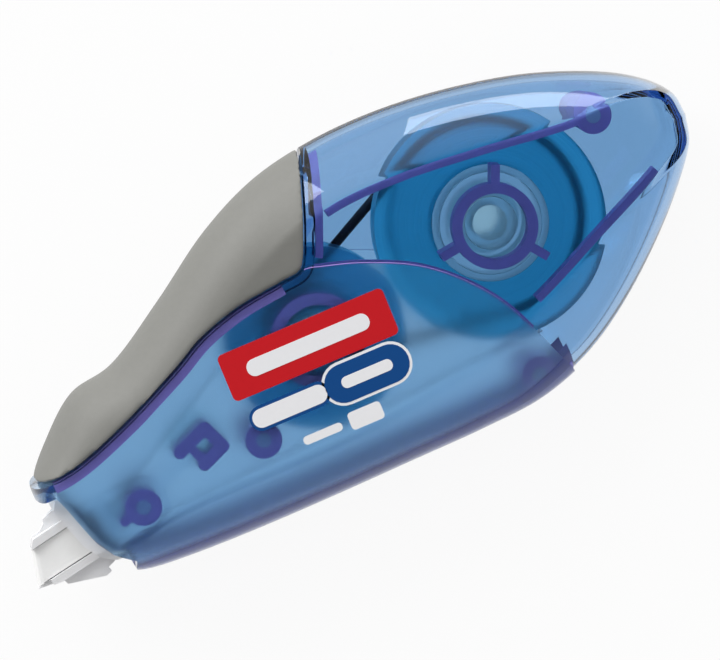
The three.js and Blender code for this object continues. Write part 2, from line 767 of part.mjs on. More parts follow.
// From flat on the blade's root to upright at the guide, where it leaves towards `onward`
function twist(guideTouch, onward, side) {
  const root = collarBack + fitGap;
  const start = onTip(root);
  const bend = start.distanceTo(guideTouch) * lastBendShare;
  const corner = guideTouch.clone().addScaledVector(onward.clone().sub(guideTouch).normalize(), -bend);
  const curve = new THREE.QuadraticBezierCurve(start, corner, guideTouch);
  return Array.from({ length: twistSteps + 1 }, (_, i) => {
    const share = i / twistSteps;
    const turned = Math.min(1, share / twistShare);
    const ease = turned * turned * (3 - 2 * turned);
    const along = curve.getTangent(share);
    const across = acrossTip.clone().lerp(new THREE.Vector2(-along.y, along.x), ease).normalize();
    const at = flat(curve.getPoint(share), side * bladeFace(root) * (1 - ease));
    return { at, turn: ((1 - ease) * Math.PI) / 2, across };
  });
}

const guide = bosses[0];
const guideRadius = bossRadius + fitGap + tapeThick / 2;
const packTouch = packRadius + fitGap + tapeThick / 2;
const carrierTouch = carrierCore + carrierThick + fitGap + tapeThick;

function feedTape() {
  const [onGuide, onPack] = tangent(guide, guideRadius, supplyAxis, packTouch);
  const across = leftOf([onGuide, onPack], 0);
  return ribbon([...twist(onGuide, onPack, 1), { at: flat(onPack), turn: 0, across }]);
}

function returnTape() {
  const [onTakeUp, onGuide] = tangent(takeUpAxis, carrierTouch, guide, guideRadius);
  const across = leftOf([onGuide, onTakeUp], 0);
  return ribbon([...twist(onGuide, onTakeUp, -1), { at: flat(onTakeUp), turn: 0, across }]);
}

// Up one face of the blade, round its end edge and back down the other
function tipTape() {
  const start = loopBack;
  const radius = bladeFace(start);
  const face = [1, 0.5, 0].map((share) => {
    const along = start + share * (collarBack - start);
    return { along, level: bladeFace(along) };
  });
  const bend = Array.from({ length: bendSteps + 1 }, (_, i) => {
    const turn = (i * Math.PI) / bendSteps;
    return { along: start - Math.sin(turn) * radius, level: Math.cos(turn) * radius };
  });
  const back = face.map(({ along, level }) => ({ along, level: -level })).reverse();
  const path = [...face.slice(0, 2), ...bend, ...back.slice(1)];
  const rings = path.map((p, i) => {
    const before = path[Math.max(0, i - 1)];
    const after = path[Math.min(path.length - 1, i + 1)];
    const heading = new THREE.Vector2(after.along - before.along, after.level - before.level).normalize();
    const face = new THREE.Vector2(-heading.y, heading.x).multiplyScalar(tapeThick / 2);
    const lean = endLean * Math.min(1, (collarBack - p.along) / (collarBack - start));
    return [[-1, -1], [1, -1], [1, 1], [-1, 1]].map(([w, f]) => {
      const across = (w * tapeWidth) / 2;
      const at = onTip(p.along + f * face.x + across * lean).addScaledVector(acrossTip, across);
      return flat(at, p.level + f * face.y);
    });
  });
  return skinned(rings, fan);
}

// Materials

const finish = (color, roughness) => new THREE.MeshStandardMaterial({ color, roughness, metalness: 0 });
const casingBlue = finish(0x6fa6d6, 0.3);
casingBlue.transparent = true;
casingBlue.opacity = 0.5;
const gripGrey = finish(0xa6a69e, 0.8);
const tipWhite = finish(0xe6e6e2, 0.5);
const spoolPale = finish(0xb4bccc, 0.45);
const flangeBlue = finish(0x3f74b8, 0.45);
const tapeWhite = finish(0xf2f2ee, 0.6);
const packBlue = finish(0x3c78b4, 0.7);
const carrierClear = finish(0xc9d2d6, 0.4);
const beltBlack = finish(0x14161c, 0.7);

// Assembly

const part = new THREE.Group();
const body = new THREE.Group();
part.add(body);

function piece(name, solid, material, at = new THREE.Vector2()) {
  const mesh = new THREE.Mesh(geometryOf(solid), material);
  mesh.name = name;
  mesh.position.set(at.x, at.y, 0);
  body.add(mesh);
}

piece("left_casing", leftCasing(), casingBlue);
piece("right_casing", rightCasing(), casingBlue);
piece("soft_grip", softGrip(), gripGrey);
piece("transfer_tip", transferTip(), tipWhite);
piece("supply_spool", supplySpool(), spoolPale, supplyAxis);
piece("supply_core", supplyCore(), spoolPale, supplyAxis);
piece("tape_pack", tapePack(), packBlue, supplyAxis);
piece("take_up_spool", takeUpSpool(), flangeBlue, takeUpAxis);
piece("take_up_flange", takeUpFlange(), flangeBlue, takeUpAxis);
piece("used_carrier", usedCarrier(), carrierClear, takeUpAxis);
piece("drive_belt", driveBelt(), beltBlack);
piece("feed_tape", feedTape(), tapeWhite);
piece("tip_tape", tipTape(), tapeWhite);
piece("return_tape", returnTape(), carrierClear);

// The part's origin is the middle of its footprint
const bounds = new THREE.Box3().setFromObject(part);
const middle = bounds.getCenter(new THREE.Vector3());
body.position.set(-middle.x, -middle.y, -bounds.min.z);

export default part;
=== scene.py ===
import json
import math

import bpy
from mathutils import Matrix, Vector

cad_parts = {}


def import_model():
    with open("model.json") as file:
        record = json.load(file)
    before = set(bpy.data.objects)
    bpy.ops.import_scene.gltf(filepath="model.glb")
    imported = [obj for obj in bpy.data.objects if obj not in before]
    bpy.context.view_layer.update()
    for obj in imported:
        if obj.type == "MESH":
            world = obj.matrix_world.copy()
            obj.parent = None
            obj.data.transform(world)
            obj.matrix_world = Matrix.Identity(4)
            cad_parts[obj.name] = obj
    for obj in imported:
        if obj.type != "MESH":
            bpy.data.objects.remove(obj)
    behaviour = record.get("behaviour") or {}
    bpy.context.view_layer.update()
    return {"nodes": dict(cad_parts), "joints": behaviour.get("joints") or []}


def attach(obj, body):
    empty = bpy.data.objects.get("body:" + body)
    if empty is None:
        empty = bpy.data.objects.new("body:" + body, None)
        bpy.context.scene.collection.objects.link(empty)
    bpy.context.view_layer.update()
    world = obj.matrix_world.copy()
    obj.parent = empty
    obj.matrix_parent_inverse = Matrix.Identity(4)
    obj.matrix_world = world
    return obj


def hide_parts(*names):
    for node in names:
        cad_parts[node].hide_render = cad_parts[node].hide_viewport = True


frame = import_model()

mm = 0.001

# Tape
tape_width = 4.2
tape_thick = 0.15
pack_radius = 14.6
core_radius = 7.4

# Spools, pulleys and belt
supply_post = 3.3
take_up_post = 2.5
running_gap = 0.08
hub_wall = 1.0
core_wall = 0.9
carrier_core = 6.0
carrier_thick = 0.3
flange_radius = 11.4
flange_thick = 0.6
side_gap = 0.2
spool_gap = 0.15
take_up_turn = 3.3141
belt_thick = 1.2
pulley_step = 2.35
take_up_pulley = 4.5
pulley_width = 2
rim_rise = 0.4
belt_gap = 0.12

# Casings
nose_room = 27.94
tail_room = 13.3
sole_room = 9.3
crown_room = 3.7
cheek_room = 1.5
wall = 1.2
frost_rise = 0.5
seam_gap = 0.2
fit_gap = 0.3
nose_pinch = 1.2
post_wall = 1.1
boss_radius = 2.3
boss_bore = 0.96
pin_gap = 0.12
pin_length = 3
collar_radius = 5.4
collar_wall = 1.3
ring_rise = 2.3
rib_thick = 1.1
rib_reach = 7.7
rib_gap = 1.1
rib_count = 3
take_up_collar = 5.9
take_up_collar_wall = 1.45
fork_width = 4.8
fork_rib = 1.6
fork_length = 5.9
fork_distance = 10.7
fin_thick = 1.1
fin_length = 3.5
fold_rib_thick = 1.0
fold_rib_rise = 2.2
# The dark band let into the frosted wall along the sole, which is painted shade on the lower flank
sole_shade_thick = 0.5
sole_shade_reach = 3.2
sole_shade_cover = 0.4
seam_rib_near = 0.3
seam_rib_thick = 1.0
seam_rib_rise = 2.2
seam_rib_cover = 0.7
rim_rib_thick = 0.45
bed_depth = 5

# Grip and tip
grip_thick = 2
tip_reach = 9.8
tip_span = 10.4
tip_foot_rise = 1.5
blade_thick = 1.6
edge_thick = 0.6
rail_rise = 1.5
rail_width = 1
rail_setback = 0.8
arm_thick = 1
arm_gap = 0.6
eye_wall = 1.1
collar_depth = 2.2
collar_proud = 1.6

# Ribs end this far under the wall, which stays one closed body of clear plastic
hair = 0.02

# Print on the left cheek: each shape's middle, length, width, corner and layer
ink_thick = 0.03
band_middle = (37.9, 19.6)
pill_middle = (43.3, 13.4)
bar_middle = (32.9, 13.4)
block_middle = (41.2, 8.6)
dash_middle = (35.4, 8.6)
red_shapes = [(band_middle, 22.2, 6.2, 0.7, 0)]
navy_shapes = [(pill_middle, 11.1, 4.9, 2.4, 1), (bar_middle, 10.6, 3.2, 1.5, 0)]
white_shapes = [
    (band_middle, 16.4, 2.2, 1.05, 1),
    (pill_middle, 11.8, 5.6, 2.75, 0),
    (pill_middle, 6.8, 1.5, 0.7, 2),
    (bar_middle, 9.9, 2.4, 1.15, 1),
    (block_middle, 4.4, 2.3, 0.5, 0),
    (dash_middle, 5.2, 1.1, 0.5, 0),
]

# How far a cutter runs past what it cuts
overrun = 12

spool_reach = pack_radius + flange_radius + spool_gap
hull_length = nose_room + flange_radius - spool_reach * math.cos(take_up_turn) + pack_radius + tail_room
hull_height = sole_room + 2 * pack_radius + crown_room
supply_pulley = pack_radius - pulley_step
tape_half = tape_width / 2
flange_face = tape_half + side_gap
flange_back = flange_face + flange_thick
pulley_face = flange_back + side_gap
pulley_back = pulley_face + pulley_width
belt_level = -(pulley_face + pulley_back) / 2
hub_foot = pulley_back + cheek_room / 4
inner_cheek = pulley_back + cheek_room
cheek_half = inner_cheek + wall
through = cheek_half + overrun
arm_face = tape_half + arm_gap
fork_back = fork_distance + 1.5 * fork_rib
fork_stop = fork_back - 2 * fork_rib - rib_thick

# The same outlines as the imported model's, as shares of the hull's length and height
upper_ridge_shares = [
    (0, 0.325), (0.002, 0.378), (0.041, 0.482), (0.095, 0.578), (0.156, 0.607), (0.247, 0.727),
    (0.342, 0.867), (0.428, 0.953), (0.514, 0.991), (0.609, 1), (0.722, 0.976), (0.84, 0.915),
    (0.949, 0.806), (0.994, 0.713), (1, 0.64),
]
upper_crease_shares = [
    (0.01, 0.325), (0.017, 0.36), (0.065, 0.4), (0.119, 0.44), (0.173, 0.476), (0.259, 0.572),
    (0.345, 0.684), (0.426, 0.772), (0.506, 0.824), (0.603, 0.833), (0.722, 0.812), (0.84, 0.783),
    (0.937, 0.78), (0.978, 0.735), (0.986, 0.652),
]
lower_ridge_shares = [
    (0.08, 0.036), (0.093, 0.023), (0.114, 0.014), (0.152, 0.007), (0.205, 0.002), (0.283, 0),
    (0.377, 0.002), (0.485, 0.007), (0.589, 0.012), (0.678, 0.028), (0.759, 0.088), (0.841, 0.204),
    (0.939, 0.405), (0.99, 0.557), (1, 0.64),
]
lower_crease_shares = [
    (0.066, 0.1), (0.083, 0.112), (0.109, 0.128), (0.146, 0.145), (0.2, 0.154), (0.281, 0.156),
    (0.367, 0.156), (0.453, 0.164), (0.539, 0.187), (0.635, 0.225), (0.732, 0.306), (0.829, 0.405),
    (0.926, 0.505), (0.977, 0.571), (0.986, 0.652),
]
grip_seam_shares = [
    (-0.031, 0.372), (0.005, 0.372), (0.035, 0.375), (0.069, 0.39), (0.149, 0.455), (0.192, 0.498),
    (0.235, 0.543), (0.281, 0.597), (0.341, 0.637), (0.405, 0.656),
]
grip_corner_shares = [(0.438, 0.668), (0.452, 0.712)]
grip_top_share = (0.515, 1.06)
frost_edge_shares = [
    (0.451, 0.671), (0.519, 0.623), (0.597, 0.533), (0.668, 0.367), (0.714, 0.149), (0.731, 0.057),
    (0.738, -0.06),
]
# The casing's front edge. Its points from the mouth's foot up bound the mouth.
front_edge_shares = [
    (0.088, -0.05), (0.083, 0.036), (0.087, 0.064), (0.061, 0.112), (0.047, 0.158), (0.038, 0.215),
    (0.027, 0.29), (0.02, 0.33),
]
mouth_start = 2
tip_shares = [
    (0.62, 1.03), (0.353, 0.928), (0.345, 0.88), (0.263, 0.814), (0.16, 0.792), (0.086, 0.683),
    (-0.023, 0.166), (0.307, 0.152), (0.344, 0.085), (0.836, 0), (0.916, 0.03), (0.893, 0.085), (1, 0.13),
    (1.13, 0.33), (0.8, 0.98),
]
blade_end_shares = [(0.086, 0.683), (-0.023, 0.166)]
tip_root_shares = [(0.64, 1), (0.98, 0.13)]
pinch_share = 0.26
nose_boss_share = (0.123, 0.204)

# Where the fold's ribs start and stop, as shares of the hull's length
top_rib_shares = (0.5, 0.875)
back_rib_shares = (0.71, 0.928)

# The flank's arc turns this far at the crease: nearly flat where the casing is round, and with a fold left in
# the window. Each pair gives the shares of an outline between which one becomes the other.
round_turn = 1.43
fold_turn = 0.8
upper_fold_shares = (0.44, 0.54)
lower_fold_shares = (0.6, 0.74)
fold_fillet_share = 0.05

fork_turn = 0.396
fin_turn = 3.42
rib_turn = 1.18

# Fineness
span_steps = 8
flank_steps = 12
fillet_steps = 4
turn_steps = 128
boss_steps = 48
corner_steps = 6
belt_sides = 12
belt_arc_steps = 48
grip_voxel = 0.28
grip_smoothing = 0.5
grip_smoothings = 6
sharp_turn = math.radians(30)

# Camera: what it looks at, how far it leans and to which side, its distance and reach in metres, and the
# picture's own scale
target = Vector((0.766, -3.362, 8.3)) * mm
camera_lean = math.radians(9.5)
lean_side = Vector((-0.385, 0.923, 0))
picture_up = Vector((0.379, 0.925, 0))
camera_distance = 0.9
view_reach = 5
pixels_per_mm = 8.0
picture_width = 720
sensor = 36

# Floor, in metres
floor_half = 1.5
floor_sink = 0.0002
floor_color = (0.9, 0.9, 0.9)
floor_roughness = 0.9
floor_glow = 0.92

# Sky: a flag where the flat cheek would mirror it, the dimmer sky about it, and the strengths at the
# picture's lower and upper side
flag_side = Vector((0.0635, -0.1523, 0.986))
flag_inner = math.radians(10)
flag_outer = math.radians(22)
dim_outer = math.radians(65)
flag_color = (0.03, 0.03, 0.04)
dim_color = (0.5, 0.5, 0.5)
sky_color = (1, 1, 1)
sky_strengths = (0.45, 1.35)

# Lamps: name, place and size in metres, and power in watts
lamps = [
    ("key", Vector((-0.35, 0.8, 0.42)), 0.5, 5),
    ("rim", picture_up * 0.6 + Vector((0, 0, 0.12)), 0.25, 1),
]


def point(share):
    return Vector((share[0] * hull_length, share[1] * hull_height))


def turned_by(vector, angle):
    return Matrix.Rotation(angle, 2) @ vector


def away(centre, reach, turn):
    return centre + turned_by(Vector((reach, 0)), turn)


supply_axis = Vector((hull_length - tail_room - pack_radius, sole_room + pack_radius))
take_up_axis = away(supply_axis, spool_reach, take_up_turn)
post_places = [(supply_post, supply_axis), (take_up_post, take_up_axis)]
# The pins' bosses: one at the nose, the others each clear of a spool's rim, by a gap and in a direction
boss_rims = [
    (take_up_axis, flange_radius, 0.42, 3.8208),
    (supply_axis, pack_radius, 2.53, 4.6194),
    (supply_axis, pack_radius, 1.44, 0.4513),
]
bosses = [point(nose_boss_share)]
bosses += [away(axis, rim + gap + boss_radius, turn) for axis, rim, gap, turn in boss_rims]
supply_joint = next(joint for joint in frame["joints"] if joint["child"] == "supply")
origin = Vector(supply_joint["pos_m"]) / mm - supply_axis.to_3d()


# Materials

# How much they refract. What lies inside the casings bends light little, so that it stays bright in there.
solid_ior = 1.5
inner_ior = 1.2
thin_ior = 1.08


def shader(name):
    material = bpy.data.materials.new(name)
    material.use_nodes = True
    nodes, links = material.node_tree.nodes, material.node_tree.links
    return material, nodes, links, nodes["Principled BSDF"]


def math_node(nodes, links, operation, first, second):
    """A Math node; either input is a number or another node's socket."""
    made = nodes.new("ShaderNodeMath")
    made.operation = operation
    for socket, value in zip(made.inputs, (first, second)):
        if isinstance(value, (int, float)):
            socket.default_value = value
        else:
            links.new(value, socket)
    return made.outputs[0]


def grain(nodes, links, size, detail=3):
    """Noise whose features are about this many millimetres across."""
    place = nodes.new("ShaderNodeTexCoord")
    noise = nodes.new("ShaderNodeTexNoise")
    noise.inputs["Scale"].default_value = 1 / (size * mm)
    noise.inputs["Detail"].default_value = detail
    links.new(place.outputs["Object"], noise.inputs["Vector"])
    return noise.outputs["Fac"]


def between(nodes, links, factor, low, high):
    """A number that runs from low to high with the factor."""
    return math_node(nodes, links, "ADD", math_node(nodes, links, "MULTIPLY", factor, high - low), low)


def bumped(nodes, links, surface, height, depth, strength=1):
    """Relief of this many millimetres from a height of 0 to 1."""
    bump = nodes.new("ShaderNodeBump")
    bump.inputs["Distance"].default_value = depth * mm
    links.new(height, bump.inputs["Height"])
    if isinstance(strength, (int, float)):
        bump.inputs["Strength"].default_value = strength
    else:
        links.new(strength, bump.inputs["Strength"])
    links.new(bump.outputs["Normal"], surface.inputs["Normal"])


def blended(nodes, links, factor, low, high):
    """A colour that runs from low to high with the factor."""
    mix = nodes.new("ShaderNodeMix")
    mix.data_type = "RGBA"
    # The colour sockets share their names with others, so they are taken by their places
    first, second, result = mix.inputs[6], mix.inputs[7], mix.outputs[2]
    first.default_value = (*low, 1)
    second.default_value = (*high, 1)
    links.new(factor, mix.inputs[0])
    return result


def shaded(nodes, links, surface, color, factor, spread):
    """The base colour, darkened and lightened a little by the factor."""
    low, high = ([min(1, c * scale) for c in color] for scale in (1 - spread, 1 + spread))
    links.new(blended(nodes, links, factor, low, high), surface.inputs["Base Color"])


def casing_plastic():
    """Translucent blue plastic, a deeper blue along a long path. The frosted panel is finely spark-eroded."""
    clear_color, frost_color = (0.54, 0.725, 0.875), (0.7, 0.9, 0.99)
    clear_roughness, frost_roughness, shine = 0.02, (0.38, 0.5), 0.4
    frost_size, frost_depth = 0.22, 0.012
    depth_color, density = (0.1, 0.4, 0.752, 1), 218
    material, nodes, links, surface = shader("casing_plastic")
    mask = nodes.new("ShaderNodeAttribute")
    mask.attribute_name = "frost"
    frost = mask.outputs["Fac"]
    fine = grain(nodes, links, frost_size, detail=2)
    links.new(blended(nodes, links, frost, clear_color, frost_color), surface.inputs["Base Color"])
    surface.inputs["Specular IOR Level"].default_value = shine
    surface.inputs["Transmission Weight"].default_value = 1
    surface.inputs["IOR"].default_value = solid_ior
    rough = math_node(nodes, links, "MULTIPLY", frost, between(nodes, links, fine, *frost_roughness))
    links.new(math_node(nodes, links, "ADD", rough, clear_roughness), surface.inputs["Roughness"])
    bumped(nodes, links, surface, fine, frost_depth, frost)
    volume = nodes.new("ShaderNodeVolumeAbsorption")
    volume.inputs["Color"].default_value = depth_color
    volume.inputs["Density"].default_value = density
    links.new(volume.outputs["Volume"], nodes["Material Output"].inputs["Volume"])
    return material


def moulded(name, color, roughness, spread=0.08, size=1.5, depth=0.01, clear=0, ior=inner_ior):
    """Moulded plastic or rubber: a fine grain and a little unevenness of shade. Clear lets light through."""
    fine_share, uneven_share = 1 / 6, 0.15
    material, nodes, links, surface = shader(name)
    surface.inputs["Transmission Weight"].default_value = clear
    surface.inputs["IOR"].default_value = ior if clear else solid_ior
    shaded(nodes, links, surface, color, grain(nodes, links, size), spread)
    fine = grain(nodes, links, size * fine_share, detail=4)
    rough = between(nodes, links, fine, roughness * (1 - uneven_share), roughness * (1 + uneven_share))
    links.new(rough, surface.inputs["Roughness"])
    bumped(nodes, links, surface, fine, depth)
    return material


def wound(name, color, axis, pitch, clear=0):
    """Film wound about an upright axis: fine rings of uneven shade."""
    spread, roughness, depth = 0.12, (0.35, 0.6), 0.04
    material, nodes, links, surface = shader(name)
    surface.inputs["Transmission Weight"].default_value = clear
    surface.inputs["IOR"].default_value = inner_ior if clear else solid_ior
    place = nodes.new("ShaderNodeTexCoord")
    mapping = nodes.new("ShaderNodeMapping")
    mapping.inputs["Location"].default_value = -(origin + axis.to_3d()) * mm
    links.new(place.outputs["Object"], mapping.inputs["Vector"])
    split = nodes.new("ShaderNodeSeparateXYZ")
    links.new(mapping.outputs["Vector"], split.inputs[0])
    square = [math_node(nodes, links, "MULTIPLY", split.outputs[i], split.outputs[i]) for i in (0, 1)]
    radius = math_node(nodes, links, "POWER", math_node(nodes, links, "ADD", *square), 0.5)
    rings = nodes.new("ShaderNodeTexNoise")
    rings.noise_dimensions = "1D"
    rings.inputs["Detail"].default_value = 4
    rings.inputs["Scale"].default_value = 1 / (pitch * mm)
    links.new(radius, rings.inputs["W"])
    uneven = rings.outputs["Fac"]
    shaded(nodes, links, surface, color, uneven, spread)
    links.new(between(nodes, links, uneven, *roughness), surface.inputs["Roughness"])
    bumped(nodes, links, surface, uneven, depth)
    return material


# The finishes of a casing's faces. The panel's outer and inner skins only mark faces until the piece is
# finished.
# The last finish, the dark band along the sole, is painted shade.
CLEAR, FROSTED, RIB, POST, HAZY, CAP, SOLE_SHADE = range(7)
rib_plastic = moulded("rib_plastic", (0.64, 0.36, 0.84), roughness=0.4)
cap_plastic = moulded("cap_plastic", (0.62, 0.6, 0.85), roughness=0.4)
# A dark indigo for the band along the sole: painted shade on the lower flank
sole_shade_plastic = moulded("sole_shade_plastic", (0.2, 0.22, 0.66), roughness=0.4)
post_plastic = moulded("post_plastic", (0.72, 0.94, 0.99), roughness=0.35, clear=0.85)
frost_mark = bpy.data.materials.new("frost_mark")
haze_mark = bpy.data.materials.new("haze_mark")
frost_shares = {frost_mark: 0.4, haze_mark: 1}
solid_finish = [rib_plastic, post_plastic, cap_plastic, sole_shade_plastic]
casing_finish = [
    casing_plastic(), frost_mark, rib_plastic, post_plastic, haze_mark, cap_plastic, sole_shade_plastic,
]


# Meshes and booleans

def piece(name, points, faces, finish=CLEAR):
    mesh = bpy.data.meshes.new(name)
    mesh.from_pydata([tuple(p) for p in points], [], faces)
    for material in casing_finish:
        mesh.materials.append(material)
    for face in mesh.polygons:
        face.material_index = finish
    made = bpy.data.objects.new(name, mesh)
    bpy.context.scene.collection.objects.link(made)
    return made


def settle(made):
    """The piece's modifiers become its mesh."""
    depsgraph = bpy.context.evaluated_depsgraph_get()
    mesh = bpy.data.meshes.new_from_object(made.evaluated_get(depsgraph), depsgraph=depsgraph)
    made.modifiers.clear()
    made.data = mesh
    return made


def combine(base, tools, operation):
    for tool in tools:
        modifier = base.modifiers.new("carve", "BOOLEAN")
        modifier.solver = "MANIFOLD"
        modifier.operation = operation
        modifier.object = tool
    settle(base)
    for tool in tools:
        bpy.data.objects.remove(tool)
    return base


def joined(base, *tools):
    return combine(base, tools, "UNION")


def cut(base, *tools):
    return combine(base, tools, "DIFFERENCE")


def common(base, *tools):
    return combine(base, tools, "INTERSECT")


def gathered(base, *others):
    """Closed bodies that lie side by side in one mesh."""
    pieces = [base, *others]
    with bpy.context.temp_override(active_object=base, object=base, selected_objects=pieces,
                                   selected_editable_objects=pieces):
        bpy.ops.object.join()
    return base


def prism(outline, low, high, finish=CLEAR):
    """A flat outline, anticlockwise, pushed from one level to another."""
    count = len(outline)
    points = [(p[0], p[1], level) for level in (low, high) for p in outline]
    sides = [(i, (i + 1) % count, count + (i + 1) % count, count + i) for i in range(count)]
    lids = [tuple(range(count - 1, -1, -1)), tuple(range(count, 2 * count))]
    return piece("prism", points, sides + lids, finish)


def circle(radius, centre, steps):
    return [
        centre + turned_by(Vector((radius, 0)), 2 * math.pi * i / steps)
        for i in range(steps)
    ]


def bar(radius, low, high, centre, finish=CLEAR, steps=boss_steps):
    return prism(circle(radius, centre, steps), low, high, finish)


def skin(rings, closed, lid=None, finish=CLEAR):
    """Rings of points joined into a surface: round to the first ring again, or with a lid on both ends."""
    count = len(rings[0])
    faces = []
    for r in range(len(rings) if closed else len(rings) - 1):
        here, there = r * count, (r + 1) % len(rings) * count
        for i in range(count):
            j = (i + 1) % count
            faces.append((here + i, here + j, there + j, there + i))
    if not closed:
        top = (len(rings) - 1) * count
        for face in lid:
            faces.append(tuple(reversed(face)))
            faces.append(tuple(top + i for i in face))
    return piece("skin", [p for ring in rings for p in ring], faces, finish)


def lathe(profile, centre, finish=CLEAR):
    """A closed profile of (radius, level), anticlockwise, turned about an upright axis."""
    rings = []
    for i in range(turn_steps):
        out = turned_by(Vector((1, 0)), 2 * math.pi * i / turn_steps)
        rings.append([(centre + out * radius).to_3d() + Vector((0, 0, level)) for radius, level in profile])
    made = skin(rings, True, None, finish)
    made.data.flip_normals()
    return made


def ring_profile(inner, outer, low, high):
    return [(inner, low), (outer, low), (outer, high), (inner, high)]


def placed(points, centre, angle):
    return [centre + turned_by(Vector(p), angle) for p in points]


def slab(x0, x1, half):
    return [(x0, -half), (x1, -half), (x1, half), (x0, half)]


def rounded(points, radii):
    """An outline whose corners are rounded by arcs; a radius of zero keeps the corner."""
    made = []
    count = len(points)
    for i, radius in enumerate(radii):
        corner = Vector(points[i])
        before = (Vector(points[i - 1]) - corner).normalized()
        after = (Vector(points[(i + 1) % count]) - corner).normalized()
        if not radius:
            made.append(corner)
            continue
        half = before.angle(after) / 2
        reach = radius / math.tan(half)
        centre = corner + (before + after).normalized() * radius / math.sin(half)
        start = corner + before * reach - centre
        sweep = start.angle_signed(corner + after * reach - centre)
        made += [centre + turned_by(start, -sweep * k / corner_steps) for k in range(corner_steps + 1)]
    return made


# Outlines

def smooth_line(points):
    """A centripetal Catmull-Rom curve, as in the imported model."""
    ends = [2 * points[0] - points[1], *points, 2 * points[-1] - points[-2]]
    line = []
    for p0, p1, p2, p3 in zip(ends, ends[1:], ends[2:], ends[3:]):
        a, b, c = (math.sqrt((q - p).length) for p, q in ((p0, p1), (p1, p2), (p2, p3)))
        leaving = ((p1 - p0) / a - (p2 - p0) / (a + b) + (p2 - p1) / b) * b
        arriving = ((p2 - p1) / b - (p3 - p1) / (b + c) + (p3 - p2) / c) * b
        for i in range(span_steps):
            t = i / span_steps
            square, cube = t * t, t * t * t
            line.append(
                p1 * (2 * cube - 3 * square + 1) + leaving * (cube - 2 * square + t)
                + p2 * (3 * square - 2 * cube) + arriving * (cube - square)
            )
    return [*line, points[-1]]


def sampled(shares):
    return smooth_line([point(share) for share in shares])


def left_of(line, i, closed=False):
    last = len(line) - 1
    before = line[i - 1] if i or closed else line[0]
    after = line[i + 1] if i < last else line[0 if closed else last]
    along = (after - before).normalized()
    return Vector((-along.y, along.x))


def offset_line(line, distance):
    return [p - left_of(line, i) * distance for i, p in enumerate(line)]


ridge = sampled(lower_ridge_shares) + sampled(upper_ridge_shares)[::-1][1:]
lower_crease = sampled(lower_crease_shares)
upper_crease = sampled(upper_crease_shares)
crease = lower_crease + upper_crease[::-1][1:]


def smoothstep(low, high, value):
    share = min(1, max(0, (value - low) / (high - low)))
    return share * share * (3 - 2 * share)


def flank_turns():
    """How far the flank has turned when it meets the cheek, for each point of the outline."""
    last = len(lower_crease) - 1
    turns = []
    for i in range(len(crease)):
        share = (i if i <= last else 2 * last - i) / last
        limits = lower_fold_shares if i <= last else upper_fold_shares
        turns.append(round_turn + (fold_turn - round_turn) * smoothstep(*limits, share))
    return turns


def flank(turn):
    """(how far in, how far up) of the rounded flank from ridge to cheek, with a small fillet at its fold."""
    def arc(angle):
        return Vector(((1 - math.cos(angle)) / (1 - math.cos(turn)), math.sin(angle) / math.sin(turn)))

    stop = math.acos(1 - (1 - fold_fillet_share) * (1 - math.cos(turn)))
    path = [arc(stop * k / flank_steps) for k in range(flank_steps + 1)]
    corner, end = Vector((1, 1)), Vector((1 + fold_fillet_share, 1))
    start = path[-1]
    for k in range(1, fillet_steps + 1):
        t = k / fillet_steps
        path.append(start * (1 - t) ** 2 + corner * 2 * t * (1 - t) + end * t * t)
    return path


flanks = [flank(turn) for turn in flank_turns()]


def pinch_at(x):
    start = pinch_share * hull_length
    share = max(0, (start - x) / start)
    return 1 - nose_pinch / cheek_half * share * share


def ladder(count):
    """Lid faces for a long ring that runs out and back: quads from its start to its far end."""
    faces = []
    i, j = 0, count - 1
    while j - i > 1:
        faces.append((i, i + 1, j - 1, j) if j - i > 2 else (i, i + 1, j))
        i, j = i + 1, j - 1
    return faces


def hull(inset, reach=0, finish=CLEAR):
    """The hull's solid, moved in by inset all over. Reach carries its front end out through the mouth."""
    last = len(ridge) - 1
    count = len(flanks[0])
    levels = [(k, -1) for k in range(count - 1, 0, -1)] + [(k, 1) for k in range(count)]
    columns = []
    for i, p in enumerate(ridge):
        half = cheek_half + (p - crease[i]).length
        low = p + left_of(ridge, i) * inset
        high = crease[i] + left_of(crease, i) * (inset * cheek_half / half)
        forward = Vector((reach if i in (0, last) else 0, 0))
        columns.append((low - forward, high - forward))
    rings = []
    for k, side in levels:
        ring = []
        for i, (low, high) in enumerate(columns):
            share, up = flanks[i][k]
            at = low.lerp(high, share)
            ring.append(Vector((at.x, at.y, side * up * (cheek_half * pinch_at(at.x) - inset))))
        rings.append(ring)
    return skin(rings, False, ladder(len(ridge)), finish)


# Regions of the hull's side

grip_line = sampled(grip_seam_shares + grip_corner_shares) + [point(grip_top_share)]
# The bed's rear wall runs through this many of the line's last points
rear_points = 3


def grip_region(more, finish=CLEAR):
    line = offset_line(grip_line, more)
    top = hull_height + overrun
    return prism([*line, Vector((line[-1].x, top)), Vector((line[0].x, top))], -through, through, finish)


def frost_region(finish):
    """The panel's outline. It runs on past the grip's seam, where the bed is cut away."""
    edge = sampled(frost_edge_shares)[::-1]
    seam = offset_line(sampled(grip_seam_shares), -wall)[::-1]
    foot = [Vector((-overrun, -overrun)), Vector((edge[0].x, -overrun))]
    return prism([*foot, *edge, *seam], -through, through, finish)


def front_cutter(finish=CLEAR):
    edge = [point(share) for share in front_edge_shares]
    top = Vector((-overrun, edge[-1].y))
    foot = [Vector((-overrun, -overrun)), Vector((edge[0].x, -overrun))]
    return prism([*foot, *edge, top], -through, through, finish)


def inside(more, reach, finish):
    """The room inside the walls, drawn in a little more."""
    under_bed = cut(grip_region(wall + more, finish), hull(grip_thick + fit_gap + wall + more, 0, finish))
    return cut(hull(wall + more, reach, finish), under_bed)


